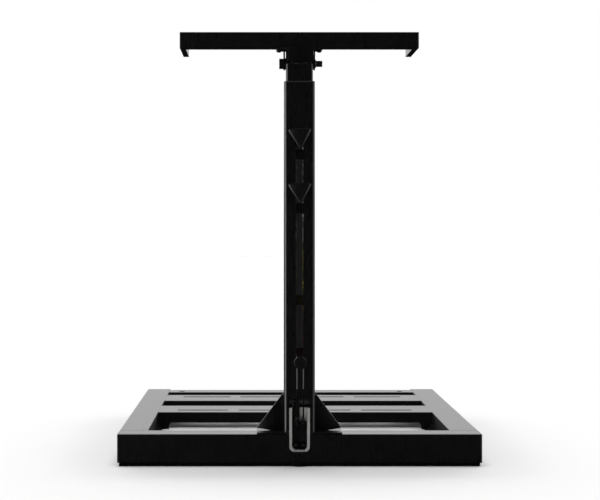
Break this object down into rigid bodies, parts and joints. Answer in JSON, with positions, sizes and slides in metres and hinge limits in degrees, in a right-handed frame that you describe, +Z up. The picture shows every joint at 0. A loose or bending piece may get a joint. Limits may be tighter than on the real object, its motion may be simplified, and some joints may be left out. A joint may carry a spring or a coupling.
{
  "type": "power tower",
  "caption": "Low square-tube base with slotted rails, a telescoping clamp-locked column with a foot release, and a tilting T-shaped crossbar with rearward arms.",
  "frame": {"origin": "on the floor, at the middle of the whole footprint, release knob included", "axes": "+Z up; +X across the base to the right of someone facing the column; +Y from the column towards the rear beam"},
  "size_m": [0.95, 1.147, 1.134],
  "materials": {
    "paint": "satin black powder coat with a fine vertical texture",
    "black_plastic": "moulded black nylon, light grain",
    "knob_plastic": "smooth satin black moulding",
    "rubber": "matt black rubber",
    "zinc_steel": "zinc-plated steel",
    "black_steel": "black-oxide steel",
    "white_acetal": "natural white acetal",
    "zone_grey": "printed scale strip, grey zone",
    "zone_yellow": "printed scale strip, yellow zone",
    "zone_red": "printed scale strip, red zone",
    "rod_chrome": "polished rod",
    "block_alu": "machined aluminium"
  },
  "bodies": {
    "base": {"front_beam": "paint", "front_beam_end_plates": "paint", "left_side_beam": "paint", "right_side_beam": "paint", "rear_beam": "paint", "side_beam_caps": "black_plastic", "front_rail": "paint", "rear_rail": "paint", "rail_cleats": "paint", "rail_bolts": "zinc_steel", "front_foot_strip": "rubber", "left_foot_strip": "rubber", "right_foot_strip": "rubber", "rear_foot_strip": "rubber", "centre_foot": "rubber", "column_flange": "paint", "left_gusset": "paint", "right_gusset": "paint", "column_tube": "paint", "upper_guide_bush": "black_plastic", "zone_strip_upper": "zone_grey", "zone_strip_middle": "zone_yellow", "zone_strip_lower": "zone_red", "window_liners": "black_plastic", "clamp_nuts": "black_steel", "pedal_guide": "white_acetal", "guide_screws": "black_steel", "pedal_axle": "zinc_steel", "axle_sleeves": "black_steel", "release_block": "block_alu", "release_block_bolts": "zinc_steel", "gas_spring_rod": "rod_chrome"},
    "post": {"inner_post": "paint", "lower_guide_bush": "black_plastic", "gas_spring_cylinder": "black_plastic", "gas_spring_pin": "zinc_steel", "pivot_spacer": "zinc_steel"},
    "head": {"head_bracket": "paint", "head_screws": "black_steel", "pivot_pin": "black_steel", "pivot_clip": "zinc_steel", "thrust_washers": "black_plastic", "crossbar": "paint", "crossbar_caps": "black_plastic", "left_arm": "paint", "right_arm": "paint", "arm_caps": "black_plastic"},
    "upper_knob": {"upper_clamp_knob": "knob_plastic", "upper_clamp_screw": "zinc_steel"},
    "lower_knob": {"lower_clamp_knob": "knob_plastic", "lower_clamp_screw": "zinc_steel"},
    "release": {"release_knob": "knob_plastic", "release_pin": "zinc_steel", "pull_rods": "rod_chrome", "rod_sleeves": "rubber", "rod_nuts": "black_steel"},
    "pedal": {"pedal": "paint", "pedal_arms": "paint", "toe_pad": "rubber", "toe_pad_screws": "black_steel"}
  },
  "joints": [
    {"name": "post_slide", "type": "slide", "parent": "base", "child": "post", "axis": [0, 0, 1], "range_m": [-0.025, 0.2]},
    {"name": "head_tilt", "type": "hinge", "parent": "post", "child": "head", "pos_m": [0, -0.4555, 1.052], "axis": [-1, 0, 0], "range_deg": [-10, 30]},
    {"name": "upper_clamp_turn", "type": "hinge", "parent": "base", "child": "upper_knob", "pos_m": [0, -0.5485, 0.857], "axis": [0, -1, 0], "range_deg": [0, 540]},
    {"name": "lower_clamp_turn", "type": "hinge", "parent": "base", "child": "lower_knob", "pos_m": [0, -0.5485, 0.7165], "axis": [0, -1, 0], "range_deg": [0, 540]},
    {"name": "pedal_swing", "type": "hinge", "parent": "base", "child": "pedal", "pos_m": [0, -0.4765, 0.167], "axis": [1, 0, 0], "range_deg": [0, 6], "stiffness_Nm_per_rad": 20, "springref_deg": -3.44},
    {"name": "release_slide", "type": "slide", "parent": "base", "child": "release", "axis": [0, 0, -1], "range_m": [0, 0.0084]}
  ],
  "couplings": [
    {"joint": "release_slide", "follows": "pedal_swing", "m_per_rad": 0.08}
  ]
}
